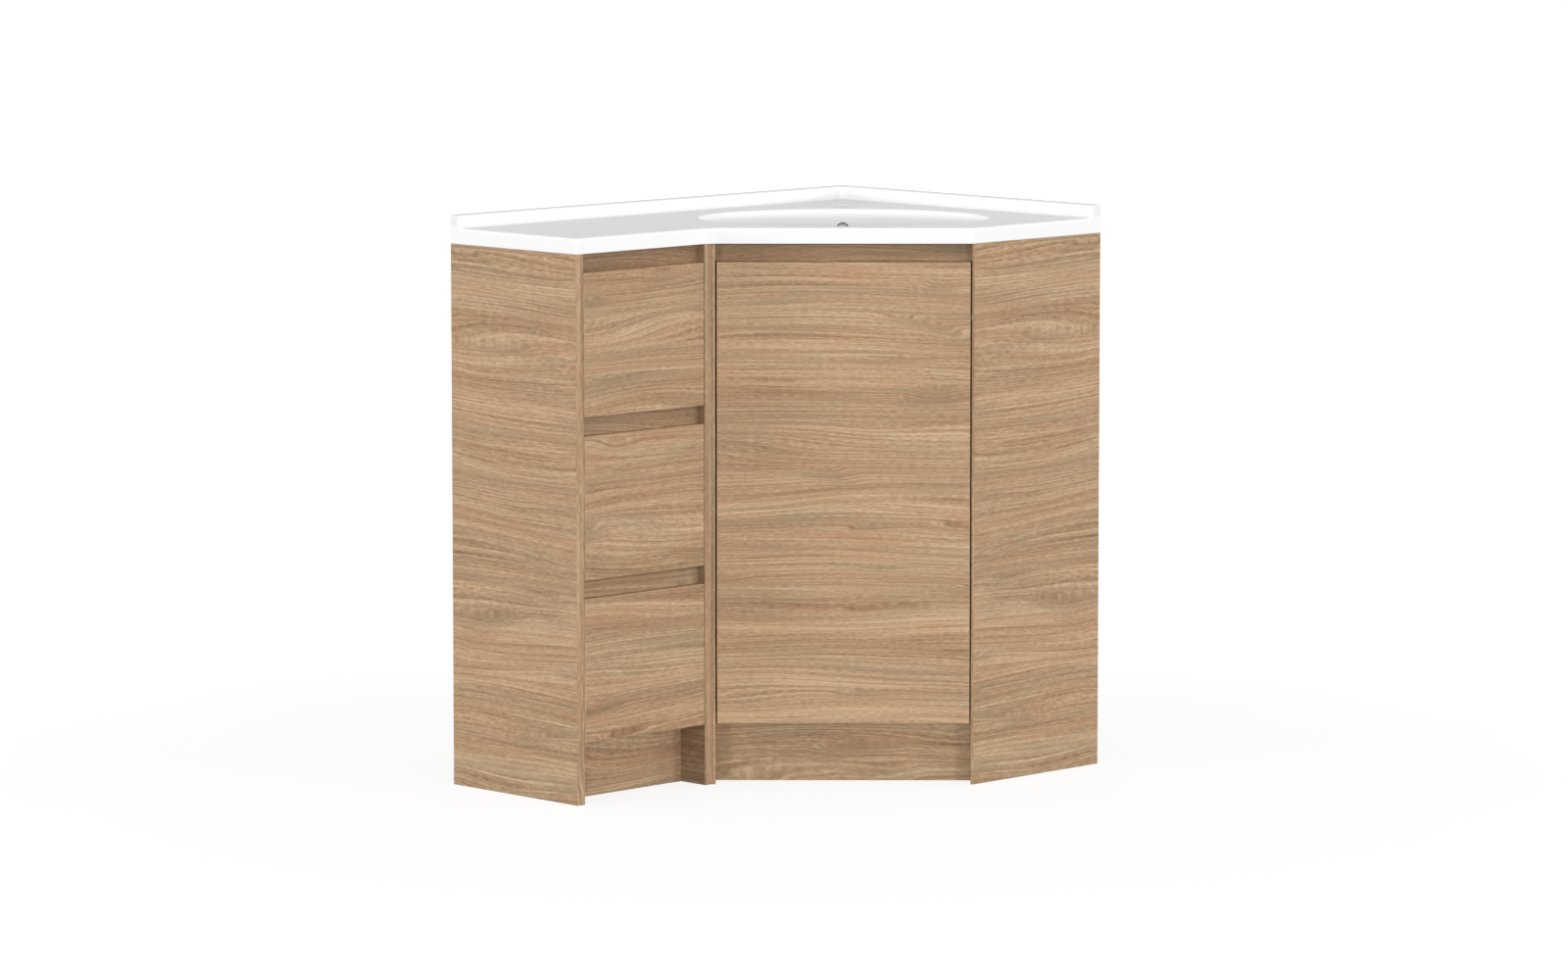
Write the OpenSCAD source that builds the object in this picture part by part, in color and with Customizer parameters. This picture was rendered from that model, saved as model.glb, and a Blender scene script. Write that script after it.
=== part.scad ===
// Corner vanity unit: a cupboard that fills a room corner behind one diagonal door,
// a bank of three drawers beside it, and a one-piece moulded top with an oval basin.
// Sizes are in millimetres.
//
// Every piece is drawn in room coordinates: the origin is the foot of the room corner,
// X runs along the long wall, Y along the short wall and Z up. in_room() then turns the
// unit so that the middle of its footprint is the origin, with the long wall on +Y and
// the short wall on +X.

/* [Overall] */
// Length along the long wall
long_w = 900; // [860:10:1100]
// Length along the short wall
short_w = 600; // [560:5:660]
// Depth of the corner cupboard's two side panels
side_d = 300; // [280:5:330]
// How far the drawer bank stands back behind the corner cupboard's left panel
drawer_setback = 2; // [1:0.5:4]
// Height of the cabinet under the moulded top
cabinet_h = 886; // [820:2:940]
// Height of the toe space
toe_h = 100; // [80:5:130]

/* [Boards] */
// Thickness of the faced boards
board_t = 16; // [15:0.5:19]
// Easing on the boards' visible edges
edge_ease = 0.7; // [0.3:0.1:1.2]
// Easing on the edges of the door and the drawer fronts
front_ease = 1; // [0.5:0.1:1.2]
// Thickness of the hardboard backs
back_t = 5; // [3:0.5:8]
// Size of the square post in the back corner
post_w = 40; // [30:2:60]
// Height of the rails that are screwed to the walls
fixing_rail_h = 80; // [60:5:120]

/* [Fronts] */
// Height of the finger gap above each front
finger_gap = 30; // [22:1:40]
// Space between a drawer front and the panel beside it
drawer_reveal = 1; // [0.6:0.1:2]
// Space between the door and the panel edge beside it
door_reveal = 2.4; // [2.2:0.1:3.2]
// Width of the flat nose on each corner panel, parallel to the door
nose_w = 3.8; // [2.5:0.1:5]
// How far a rail behind a finger gap reaches behind the fronts above and below it
rail_lap = 12; // [6:1:20]
// Space between a closed front and the rail behind it
rail_gap = 0.5; // [0.4:0.1:1]
// How far the drawers' toe kick stands back behind the drawer fronts
drawer_toe_back = 58; // [40:1:75]
// How far the door's toe kick stands back behind the door
door_toe_back = 42; // [34:1:60]
// How far the cupboard's floor stands back to let the door's corner swing past
swing_back = 25; // [24.5:0.5:32]

/* [Shelf] */
// Height of the shelf above the floor of the room
shelf_z = 430; // [320:5:560]
// How far the shelf stands back behind the door
shelf_back = 60; // [50:5:120]
// Space round the shelf
shelf_gap = 1; // [0.5:0.1:2]
// Diameter of the shelf pins
shelf_pin_d = 5; // [4:0.5:6]
// Depth of the holes that the shelf pins are pushed into
shelf_pin_in = 8; // [6:1:10]

/* [Moulded top] */
// Thickness of the slab
slab_t = 26; // [20:1:40]
// How far the slab stands out past the door
slab_overhang = 3.2; // [0:0.2:8]
// Radius on the slab's free top edges
slab_edge_r = 5; // [3:0.5:8]
// Height of the upstand above the deck
upstand_h = 21; // [15:1:60]
// Thickness of the upstand
upstand_t = 18; // [14:1:26]
// Radius on the upstand's top edge
upstand_edge_r = 6; // [3:0.5:8]
// Radius of the cove at the upstand's foot
cove_r = 13; // [6:1:18]
// Diameter of the tap hole
tap_d = 35; // [32:1:38]
// Distance of the tap hole's middle behind the basin's rim
tap_behind_basin = 53; // [40:1:65]

/* [Basin] */
// Length of the basin's rim, parallel to the door
basin_l = 486; // [420:2:500]
// Width of the basin's rim, square to the door
basin_w = 362; // [320:2:366]
// Width of the deck between the basin's rim and the slab's edge over the door
basin_front_gap = 31.6; // [30:0.1:36]
// Radius of the basin's rounded lip
lip_r = 12; // [10:1:14]
// Depth of the basin below the deck
basin_depth = 142; // [120:2:160]
// Thickness of the basin's wall
basin_wall = 8; // [7:0.5:9]
// Diameter of the waste hole
waste_d = 45; // [40:1:50]
// Height of the boss round the waste hole
waste_boss_h = 10; // [6:1:16]
// Depth of the overflow hole's middle below the deck
overflow_drop = 31; // [28:1:40]
// Diameter of the overflow hole
overflow_d = 16; // [12:1:20]
// Outer diameter of the overflow ring
overflow_ring_d = 24; // [20:1:28]

/* [Drawers] */
// Thickness of a drawer's sides and back
box_t = 12; // [10:1:15]
// Height of a drawer's sides
box_h = 140; // [100:5:150]
// Space between a closed drawer's box and the back of the drawer bank
drawer_back_gap = 11; // [6:1:40]
// Thickness of a drawer's bottom
bottom_t = 4; // [3:0.5:6]
// Depth of the grooves that hold the bottom
groove_d = 5; // [3:0.5:7]
// Space between a drawer box and the panel beside it, filled by the runner
runner_w = 12.5; // [12:0.5:14]
// Height of a drawer box above the lower edge of its front
box_lift = 30; // [26:1:40]
// How much of a drawer box stays in the cabinet when the drawer is pulled out
drawer_stay = 60; // [46:2:120]

/* [Runners] */
// Thickness of the runners' steel
steel_t = 1.2; // [1:0.1:1.5]
// Radius of the runner rollers
roller_r = 8; // [7:0.5:8.5]
// Width of the runner rollers
roller_w = 6; // [5:0.5:6.5]
// Diameter of the rollers' axles
axle_d = 4; // [3:0.5:5]

/* [Door hinges] */
// Distance of each hinge from the top or bottom of the door
hinge_inset = 92; // [70:2:140]
// Diameter of the hinge cup
cup_d = 35; // [34:0.5:36]
// Depth of the hinge cup
cup_depth = 12; // [11.5:0.1:12.5]
// Distance of the cup's middle from the door's edge
cup_x = 22.5; // [22:0.1:23]
// Distance of the hinge pin from the door's edge
pin_x = 13; // [12.8:0.1:13.2]
// Distance of the hinge pin behind the door's face
pin_y = 8.3; // [8.1:0.1:8.5]
// Diameter of the hinge pin
pin_d = 3; // [2.5:0.1:3.2]
// Running clearance of pins and axles, on the radius
running_gap = 0.05; // [0.03:0.01:0.08]
// Width of the hinge arm
arm_w = 10; // [8:1:11]
// Thickness of the hinge arm
arm_t = 2; // [1.5:0.1:2.2]

/* [Hidden] */
$fn = 48;
root2 = sqrt(2);
// How far a cut runs past the face it opens
cut_past = 1;

// Corner cupboard. The diagonal plane of the door and the panel noses is x + y = front_sum.
corner_w = short_w;
front_sum = corner_w + side_d;
front_mid = front_sum / 2;
nose_half = (corner_w - side_d) / root2;
door_half = nose_half - nose_w - door_reveal;
door_w = 2 * door_half;
door_h = cabinet_h - toe_h - finger_gap;
// Half the space between the inner faces of the two side panels, measured in the door plane
inner_half = nose_half - board_t * root2;
// Depth at which the nose's square cut meets the inner face
nose_cut = nose_half - nose_w - inner_half;
back_in = board_t + back_t;

// Drawer bank
bank_x0 = corner_w;
bank_x1 = long_w;
bank_d = side_d - drawer_setback;
bank_in0 = bank_x0 + board_t;
bank_in1 = bank_x1 - board_t;
bank_in_w = bank_in1 - bank_in0;
front_h = (cabinet_h - toe_h - 3 * finger_gap) / 3;
front_w = bank_in_w - 2 * drawer_reveal;
front_pitch = front_h + finger_gap;
front_back_y = bank_d - board_t;
rail_y1 = front_back_y - rail_gap;
rail_y0 = rail_y1 - board_t;
// Lower edge of each drawer front, top drawer first
front_z = [for (i = [2 : -1 : 0]) toe_h + i * front_pitch];

// Drawer boxes
box_x0 = bank_in0 + runner_w;
box_x1 = bank_in1 - runner_w;
box_y0 = back_in + drawer_back_gap;
box_y1 = front_back_y;
box_l = box_y1 - box_y0;
groove_z = 10;
groove_play = 0.1;

// Runners. Heights are measured from the lower edge of the drawer box.
flange_z = 11.8;
trap_z = 15.8;
roller_play = 0.1;
front_roller_z = flange_z - roller_play - roller_r;
rear_roller_z = 2.7;
track_z = rear_roller_z - roller_r - roller_play;
runner_end = 2;
runner_l = box_l;
front_roller_in = 4;
front_roller_y = box_y1 - runner_end - roller_r - front_roller_in;
rear_roller_in = 2;
rear_roller_y = box_y0 + roller_r + rear_roller_in;
roller_t0 = 2.4;
roller_side = 0.2;
axle_head_t = 1.2;
rear_head_t = 0.6;
shoulder_r = axle_d / 2 + 1;
slide_short = 1;
// The stop on the track meets the rear roller when the drawer is out
stop_play = 0.3;
track_stop_y = rear_roller_y + box_l - drawer_stay + roller_r + stop_play;
track_w = 10.3;
track_lip_t = 1;
track_lip_h = 2;
trap_w = 8;
flange_in = 3.5;
sole_w = 12;

// Moulded top
slab_z = cabinet_h;
deck_z = slab_z + slab_t;
// Distance of the slab's edge over the door from the room corner, square to the door
slab_reach = front_sum / root2 + slab_overhang;
arc_steps = 6;
cove_sink = 0.4;

// Places of the basin's middle and the tap hole, measured from the room corner square to
// the door. The basin's rings run from the lip to the bottom; each is [inset, depth].
basin_from_corner = slab_reach - basin_front_gap - basin_w / 2;
tap_from_corner = basin_from_corner - basin_w / 2 - tap_behind_basin;
ring_sides = 56;
lip_steps = 4;
bowl_steps = 9;
lip_end = 78;
bowl_end = 84;
lip_in = lip_r * sin(lip_end);
lip_down = lip_r * (1 - cos(lip_end));
bowl_a = basin_l / 2 - lip_in;
bowl_b = basin_w / 2 - lip_in;
bowl_d = basin_depth - lip_down;
boss_wall = 10;
ring_play = 0.1;
ring_wall = 1.4;
ring_t = 2;
ring_gap = 0.3;
// The ring's flange stands clear of the bowl, which leans in by half a facet up and down
// the wall and by its curve along it
ring_stand = overflow_ring_d / 2 * sin(bowl_end / bowl_steps / 2)
    + pow(overflow_ring_d / 2, 2) * bowl_b / (2 * pow(bowl_a, 2)) + ring_gap;
ring_sleeve = basin_wall - 1;

// Hinges. Their plan is drawn from the door's front arris on the hinge side.
hinge_z = [toe_h + hinge_inset, toe_h + door_h - hinge_inset];
cup_wall = 1.1;
cup_play = 0.05;
cup_rim = 1.5;
cup_flange_t = 1.2;
cup_flange_l = 60;
cup_flange_w = 14;
cup_screw_pitch = 48;
cup_screw_d = 4;
cup_screw_l = 8;
cup_screw_play = 0.1;
screw_head_d = 7;
screw_head_top_d = 5;
screw_head_t = 1.3;
ear_t = 2;
ear_gap = 0.4;
ear_w = 8;
ear_h = 6.6;
eye_wall = 1.1;
eye_r = pin_d / 2 + eye_wall;
plate_t = 3;
plate_l = 50;
plate_h = 32;
plate_start = 8;
plate_screw_pitch = 22;
arm_reach = 15.5;
arm_drop = 6.3;
arm_leg_gap = 0.5;
arm_leg_y = -swing_back - arm_leg_gap;
arm_end = 44;

// Small pieces
bolt_d = 5;
bolt_head_d = 12;
bolt_head_t = 1.6;
bolt_play = 0.15;
bolt_spots = [[60, 160], [240, 160], [60, 780], [240, 780]];
bracket_l = 24;
bracket_w = 20;
bracket_t = 1.6;
bank_bracket_y = 140;
corner_bracket_y = 90;
stop_h = 24;
stop_gap = 0.3;
stop_l = 18;
stop_lap = 16;
pin_out = 8;
pin_play = 0.05;
shelf_pin_spots = [60, 250];

// ---- Places -------------------------------------------------------------------------

// Turns room coordinates into the part's own frame.
module in_room() {
    translate([long_w / 2, short_w / 2, 0]) rotate(180) children();
}

// Door coordinates: origin in the middle of the door plane, x along the door away from
// its hinges, y out of the room corner.
module at_door() {
    in_room() translate([front_mid, front_mid, 0]) rotate(-45) children();
}

// Hinge coordinates: as at_door(), with the origin on the door's hinge-side arris.
module at_hinges() {
    at_door() for (z = hinge_z) translate([-door_half, 0, z]) children();
}

// Basin coordinates: origin on the deck over the basin's middle, x along the door, y
// towards the door.
module at_basin() {
    in_room() rotate(-45) translate([0, basin_from_corner, deck_z]) children();
}

// ---- Shapes shared by several pieces ------------------------------------------------

module eased_rect(w, d, ease) {
    polygon([
        [ease, 0], [w - ease, 0], [w, ease], [w, d - ease],
        [w - ease, d], [ease, d], [0, d - ease], [0, ease]
    ]);
}

// A board with all twelve edges eased.
module board(w, d, h, ease = edge_ease) {
    intersection() {
        linear_extrude(h) eased_rect(w, d, ease);
        translate([w, 0, 0]) rotate([0, -90, 0]) linear_extrude(w) eased_rect(h, d, ease);
        translate([0, d, 0]) rotate([90, 0, 0]) linear_extrude(d) eased_rect(w, h, ease);
    }
}

// A block that fills the space from one corner to the opposite one.
module block(low, high) {
    translate(low) cube(high - low);
}

// A side panel of the corner cupboard, drawn for the short wall. Its front edge is a
// narrow nose parallel to the door, then a cut square to the door.
module corner_side_panel() {
    n = nose_w / root2;
    c = nose_cut / root2;
    linear_extrude(cabinet_h) polygon([
        [0, corner_w - board_t], [side_d + n - c, corner_w - board_t],
        [side_d + n, corner_w - n], [side_d, corner_w], [0, corner_w]
    ]);
}

module swap_walls() {
    mirror([1, -1, 0]) children();
}

// Half the clear width between the side panels at depth y behind the door plane.
function clear_half(y) = inner_half - y;

// A board that runs across the cupboard parallel to the door, its ends cut to the panels.
module across_door(y1, z0, z1) {
    y0 = y1 - board_t;
    translate([0, 0, z0]) linear_extrude(z1 - z0) polygon([
        [-clear_half(y0), y0], [clear_half(y0), y0], [clear_half(y1), y1], [-clear_half(y1), y1]
    ]);
}

// The plan of the cupboard's floor and shelf: square to both walls, cut parallel to the
// door, notched round the post.
module corner_plan(front_back, gap) {
    low = back_in + gap;
    high = corner_w - board_t - gap;
    notch = back_in + post_w + gap;
    front = front_sum - front_back * root2 - high;
    polygon([
        [notch, low], [high, low], [high, front], [front, high],
        [low, high], [low, notch], [notch, notch]
    ]);
}

// One long edge of a bent flat bar: the plan path moved sideways, its corners mitred.
function unit(v) = v / norm(v);
function left_of(v) = [-v.y, v.x];
function bar_edge(path, off) = [for (i = [0 : len(path) - 1]) let (
        before = max(i, 1) - 1,
        after = min(i, len(path) - 2),
        n = left_of(unit(path[before + 1] - path[before])),
        m = unit(n + left_of(unit(path[after + 1] - path[after])))
    ) path[i] + off * m / (m * n)];
function backwards(v) = [for (i = [len(v) - 1 : -1 : 0]) v[i]];

module bent_bar(path, t) {
    polygon(concat(bar_edge(path, t / 2), backwards(bar_edge(path, -t / 2))));
}

// ---- Carcass ------------------------------------------------------------------------

module left_end_panel() {
    color("#b69677") in_room() translate([bank_in1, 0, 0]) board(board_t, bank_d, cabinet_h);
}

module bolt_holes() {
    for (s = bolt_spots) translate([corner_w - board_t - cut_past, s.x, s.y])
        rotate([0, 90, 0]) cylinder(d = bolt_d + 2 * bolt_play, h = 2 * (board_t + cut_past));
}

module drawer_right_panel() {
    color("#ad8d6f") in_room() difference() {
        translate([bank_x0, 0, 0]) board(board_t, bank_d, cabinet_h);
        bolt_holes();
    }
}

module corner_left_panel() {
    color("#b69677") difference() {
        in_room() swap_walls() corner_side_panel();
        in_room() bolt_holes();
        shelf_pin_holes();
    }
}

module right_end_panel() {
    color("#b69677") difference() {
        in_room() corner_side_panel();
        shelf_pin_holes();
    }
}

module drawer_back_panel() {
    color("#8d7a63") in_room()
        block([bank_in0, board_t, toe_h], [bank_in1, back_in, cabinet_h]);
}

module corner_back_long() {
    color("#8d7a63") in_room()
        block([board_t, board_t, toe_h], [corner_w - board_t, back_in, cabinet_h]);
}

module corner_back_short() {
    color("#8d7a63") in_room()
        block([board_t, back_in, toe_h], [back_in, corner_w - board_t, cabinet_h]);
}

module drawer_floor_panel() {
    color("#b69677") in_room()
        block([bank_in0, back_in, toe_h], [bank_in1, rail_y1, toe_h + board_t]);
}

module corner_floor_panel() {
    color("#b69677") in_room() translate([0, 0, toe_h])
        linear_extrude(board_t) corner_plan(swing_back, 0);
}

module drawer_toe_kick() {
    y1 = bank_d - drawer_toe_back;
    color("#a88769") in_room() block([bank_in0, y1 - board_t, 0], [bank_in1, y1, toe_h]);
}

module corner_toe_kick() {
    color("#a88769") at_door() across_door(-door_toe_back, 0, toe_h);
}

module gap_rail(z0, z1) {
    in_room() block([bank_in0, rail_y0, z0], [bank_in1, rail_y1, z1]);
}

module drawer_rail_top() {
    color("#8f7358") gap_rail(cabinet_h - finger_gap - rail_lap, cabinet_h);
}

module drawer_rail_middle() {
    color("#8f7358") gap_rail(front_z[0] - finger_gap - rail_lap, front_z[0] + rail_lap);
}

module drawer_rail_lower() {
    color("#8f7358") gap_rail(front_z[1] - finger_gap - rail_lap, front_z[1] + rail_lap);
}

// The rail over the door stops just above it, because the door's back corner swings there.
module door_rail_top() {
    y1 = -board_t - rail_gap;
    y0 = y1 - board_t;
    x1 = door_half + door_reveal;
    z0 = toe_h + door_h + rail_gap;
    color("#8f7358") at_door() translate([0, 0, z0]) linear_extrude(cabinet_h - z0) polygon([
        [-clear_half(y0), y0], [clear_half(y0), y0], [x1, -nose_cut],
        [x1, y1], [-x1, y1], [-x1, -nose_cut]
    ]);
}

module corner_shelf() {
    color("#b69677") in_room() translate([0, 0, shelf_z])
        linear_extrude(board_t) corner_plan(shelf_back, shelf_gap);
}

// Puts children at each shelf pin: x runs into the panel or post from the pin's tip.
module at_shelf_pins() {
    in_room() {
        shelf_pins_on_a_wall() children();
        swap_walls() shelf_pins_on_a_wall() children();
    }
}

module shelf_pins_on_a_wall() {
    z = shelf_z - shelf_pin_d / 2;
    for (s = shelf_pin_spots) translate([corner_w - board_t - pin_out, s, z]) children();
    translate([back_in + post_w + pin_out, back_in + post_w / 2, z]) rotate(180) children();
}

module shelf_pin_holes() {
    at_shelf_pins() translate([pin_out - cut_past, 0, 0]) rotate([0, 90, 0])
        cylinder(d = shelf_pin_d + 2 * pin_play, h = shelf_pin_in + cut_past);
}

// Pins in the side panels and in the post carry the shelf.
module shelf_pins() {
    color("silver") at_shelf_pins() rotate([0, 90, 0])
        cylinder(d = shelf_pin_d, h = pin_out + shelf_pin_in);
}

module corner_post() {
    color("#a08566") difference() {
        in_room() block([back_in, back_in, 0], [back_in + post_w, back_in + post_w, cabinet_h]);
        shelf_pin_holes();
    }
}

module fixing_rail_long() {
    color("#a08566") in_room()
        block([0, 0, cabinet_h - fixing_rail_h], [corner_w - board_t, board_t, cabinet_h]);
}

module fixing_rail_short() {
    color("#a08566") in_room()
        block([0, board_t, cabinet_h - fixing_rail_h], [board_t, corner_w - board_t, cabinet_h]);
}

module fixing_rail_drawers() {
    color("#a08566") in_room()
        block([bank_in0, 0, cabinet_h - fixing_rail_h], [bank_in1, board_t, cabinet_h]);
}

// Sleeve bolts that clamp the drawer bank to the corner cupboard.
module connector_bolts() {
    color("silver") in_room() for (s = bolt_spots) translate([corner_w, s.x, s.y]) {
        for (side = [-1, 1]) translate([side * board_t, 0, 0]) rotate([0, side * 90, 0])
            cylinder(d = bolt_head_d, h = bolt_head_t);
        translate([-board_t, 0, 0]) rotate([0, 90, 0]) cylinder(d = bolt_d, h = 2 * board_t);
    }
}

// ---- Moulded top --------------------------------------------------------------------

// Points along an arc, both ends included.
function arc(centre, r, from, to) = [for (i = [0 : arc_steps])
    let (a = from + (to - from) * i / arc_steps) centre + r * [cos(a), sin(a)]];

// Section of a slab that reaches w from its back edge, its free top edge rounded.
module slab_section(w) {
    r = slab_edge_r;
    polygon(concat([[0, 0], [w, 0]], arc([w - r, slab_t - r], r, 0, 90), [[0, slab_t]]));
}

// A bar of slab along y, with x away from its back edge.
module slab_bar(w, y0, y1) {
    translate([0, y1, 0]) rotate([90, 0, 0]) linear_extrude(y1 - y0) slab_section(w);
}

// The slab is two overlapping plates: one over the drawers and along the long wall, flush
// with the drawer bank, and one over the corner cupboard that stands out past its door.
// Each is the common part of bars rounded along its free edges.
module slab() {
    plate = slab_reach * root2;
    translate([0, 0, slab_z]) {
        intersection() {
            slab_bar(long_w, 0, bank_d);
            swap_walls() slab_bar(bank_d, 0, long_w);
        }
        intersection() {
            swap_walls() slab_bar(corner_w, 0, plate);
            rotate(45) slab_bar(slab_reach, -slab_reach, slab_reach);
            cube([plate, plate, slab_t]);
        }
    }
}

// Section of the upstand: x away from the wall, y up from the deck. Its foot is sunk
// into the deck a little, so that the cove runs out on it.
module upstand_section() {
    t = upstand_t;
    polygon(concat(
        [[0, upstand_h], [0, -slab_edge_r], [t, -slab_edge_r], [t + cove_r, -cove_sink]],
        arc([t + cove_r, cove_r - cove_sink], cove_r, 270, 180),
        arc([t - upstand_edge_r, upstand_h - upstand_edge_r], upstand_edge_r, 0, 90)
    ));
}

module upstand(run) {
    translate([0, 0, deck_z]) rotate([90, 0, 90]) linear_extrude(run) upstand_section();
}

// Insets and depths of the basin's inner surface, from the lip down.
lip_rings = [for (i = [0 : lip_steps]) let (a = lip_end * i / lip_steps)
    [lip_r * sin(a), lip_r * (1 - cos(a))]];
function bowl_ring(i) = let (a = bowl_end * i / bowl_steps) [cos(a), sin(a)];

// One oval ring of points.
function oval(a, b, z) = [for (i = [0 : ring_sides - 1]) let (w = 360 * i / ring_sides)
    [a * cos(w), b * sin(w), z]];

// A closed solid through a stack of oval rings, lowest ring last.
module loft(rings) {
    n = ring_sides;
    m = len(rings);
    polyhedron(
        points = [for (ring = rings) for (p = ring) p],
        faces = concat(
            [[for (i = [0 : n - 1]) n - 1 - i]],
            [for (j = [0 : m - 2]) for (i = [0 : n - 1]) let (k = (i + 1) % n)
                each [[j * n + i, j * n + k, (j + 1) * n + k],
                    [j * n + i, (j + 1) * n + k, (j + 1) * n + i]]],
            [[for (i = [0 : n - 1]) (m - 1) * n + i]]
        )
    );
}

// The space inside the basin. Its first ring lies above the deck, in line with the lip's
// first facet, so that the lip starts exactly at the rim.
module basin_space() {
    g1 = lip_rings[1];
    loft(concat(
        [oval(basin_l / 2 + g1.x, basin_w / 2 + g1.x, g1.y)],
        [for (i = [1 : lip_steps]) let (g = lip_rings[i])
            oval(basin_l / 2 - g.x, basin_w / 2 - g.x, -g.y)],
        [for (i = [1 : bowl_steps]) let (g = bowl_ring(i))
            oval(bowl_a * g.x, bowl_b * g.x, -lip_down - bowl_d * g.y)]
    ));
}

// The outside of the basin below the slab.
module basin_shell() {
    w = basin_wall;
    loft(concat(
        [oval(bowl_a + w, bowl_b + w, -lip_down)],
        [for (i = [1 : bowl_steps]) let (g = bowl_ring(i))
            oval(bowl_a * g.x + w, bowl_b * g.x + w, -lip_down - (bowl_d + w) * g.y)]
    ));
}

// The overflow hole's middle on the basin's back wall, and the wall's lean there.
overflow_angle = asin((overflow_drop - lip_down) / bowl_d);
overflow_y = -bowl_b * cos(overflow_angle);
overflow_lean = atan2(bowl_b * sin(overflow_angle), bowl_d * cos(overflow_angle));

module at_overflow() {
    at_basin() translate([0, overflow_y, -overflow_drop]) rotate([-90 + overflow_lean, 0, 0])
        children();
}

module vanity_top() {
    boss_z = -basin_depth - basin_wall - waste_boss_h;
    color("white") difference() {
        union() {
            in_room() slab();
            in_room() upstand(long_w);
            in_room() swap_walls() upstand(corner_w);
            at_basin() basin_shell();
            at_basin() translate([0, 0, boss_z])
                cylinder(d = waste_d + 2 * boss_wall, h = basin_wall + waste_boss_h);
        }
        at_basin() basin_space();
        at_basin() translate([0, 0, boss_z - cut_past]) cylinder(d = waste_d, h = basin_depth);
        at_overflow() translate([0, 0, -basin_wall * 2])
            cylinder(d = overflow_d, h = basin_wall * 3);
        in_room() rotate(-45) translate([0, tap_from_corner, slab_z - cut_past])
            cylinder(d = tap_d, h = slab_t + 2 * cut_past);
    }
}

// The trim ring round the overflow hole: a sleeve in the hole and a domed flange.
module overflow_ring() {
    bore_r = overflow_d / 2 - ring_play - ring_wall;
    rim_r = ring_t / 2;
    flange = overflow_ring_d / 2 - rim_r;
    color("silver") at_overflow() rotate_extrude() {
        translate([bore_r, -ring_sleeve]) square([ring_wall, ring_sleeve + ring_stand + rim_r]);
        translate([bore_r, ring_stand]) square([flange - bore_r, ring_t]);
        translate([flange, ring_stand + rim_r]) circle(r = rim_r);
    }
}

// Steel angles that hold the moulded top down on the panels.
module top_bracket() {
    block([0, 0, -bracket_l], [bracket_t, bracket_w, 0]);
    block([0, 0, -bracket_t], [bracket_l, bracket_w, 0]);
}

module corner_top_bracket() {
    translate([corner_w - board_t, corner_bracket_y, slab_z]) mirror([1, 0, 0]) top_bracket();
}

module top_brackets() {
    color("silver") in_room() {
        translate([bank_in1, bank_bracket_y, slab_z]) mirror([1, 0, 0]) top_bracket();
        translate([bank_in0, bank_bracket_y, slab_z]) top_bracket();
        corner_top_bracket();
        swap_walls() corner_top_bracket();
    }
}

// ---- Door ---------------------------------------------------------------------------

// Places children in hinge coordinates with z running out of the door's back face.
module at_cups() {
    at_hinges() translate([cup_x, -board_t, 0]) rotate([90, 0, 0]) children();
}

module at_cup_screws() {
    for (s = [-1, 1]) at_cups() translate([0, s * cup_screw_pitch / 2, 0]) children();
}

// The head of a small countersunk screw, standing on what it holds.
module screw_head() {
    cylinder(d1 = screw_head_d, d2 = screw_head_top_d, h = screw_head_t);
}

module door_leaf() {
    color("#b89878") difference() {
        at_door() translate([-door_half, -board_t, toe_h])
            board(door_w, board_t, door_h, front_ease);
        at_cups() translate([0, 0, -cup_depth]) cylinder(d = cup_d, h = cup_depth + cut_past);
        at_cup_screws() translate([0, 0, -cup_screw_l - cut_past])
            cylinder(d = cup_screw_d, h = cup_screw_l + 2 * cut_past);
    }
}

module cup_flange() {
    linear_extrude(cup_flange_t) {
        circle(d = cup_d + 2 * cup_rim);
        translate([-cup_flange_w / 2, -cup_flange_l / 2]) square([cup_flange_w, cup_flange_l]);
    }
}

// A pressed cup with two ears that hold the pin, and its two screws.
module hinge_cups() {
    inner_r = cup_d / 2 - cup_play - cup_wall;
    color("silver") {
        difference() {
            at_cups() {
                translate([0, 0, cup_play - cup_depth])
                    cylinder(r = cup_d / 2 - cup_play, h = cup_depth);
                cup_flange();
            }
            at_cups() translate([0, 0, cup_play + cup_wall - cup_depth])
                cylinder(r = inner_r, h = cup_depth + 2 * cut_past);
        }
        difference() {
            at_hinges() for (s = [-1, 1])
                translate([pin_x, 0, s * (arm_w / 2 + ear_gap + ear_t / 2)])
                block([-ear_w / 2, -board_t + cup_depth - cup_play - cup_wall - ear_h, -ear_t / 2],
                    [ear_w / 2, -board_t + cup_depth - cup_play - cup_wall, ear_t / 2]);
            at_pins(pin_d / 2, arm_w + 2 * (ear_gap + ear_t + cut_past));
        }
        at_cup_screws() {
            translate([0, 0, -cup_screw_l])
                cylinder(d = cup_screw_d - 2 * cup_screw_play, h = cup_screw_l);
            translate([0, 0, cup_flange_t]) screw_head();
        }
    }
}

// A round bar on the hinge axis.
module at_pins(r, l) {
    at_hinges() translate([pin_x, -pin_y, -l / 2]) cylinder(r = r, h = l);
}

module hinge_pins() {
    color("silver") at_pins(pin_d / 2, arm_w + 2 * (ear_gap + ear_t));
}

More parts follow.
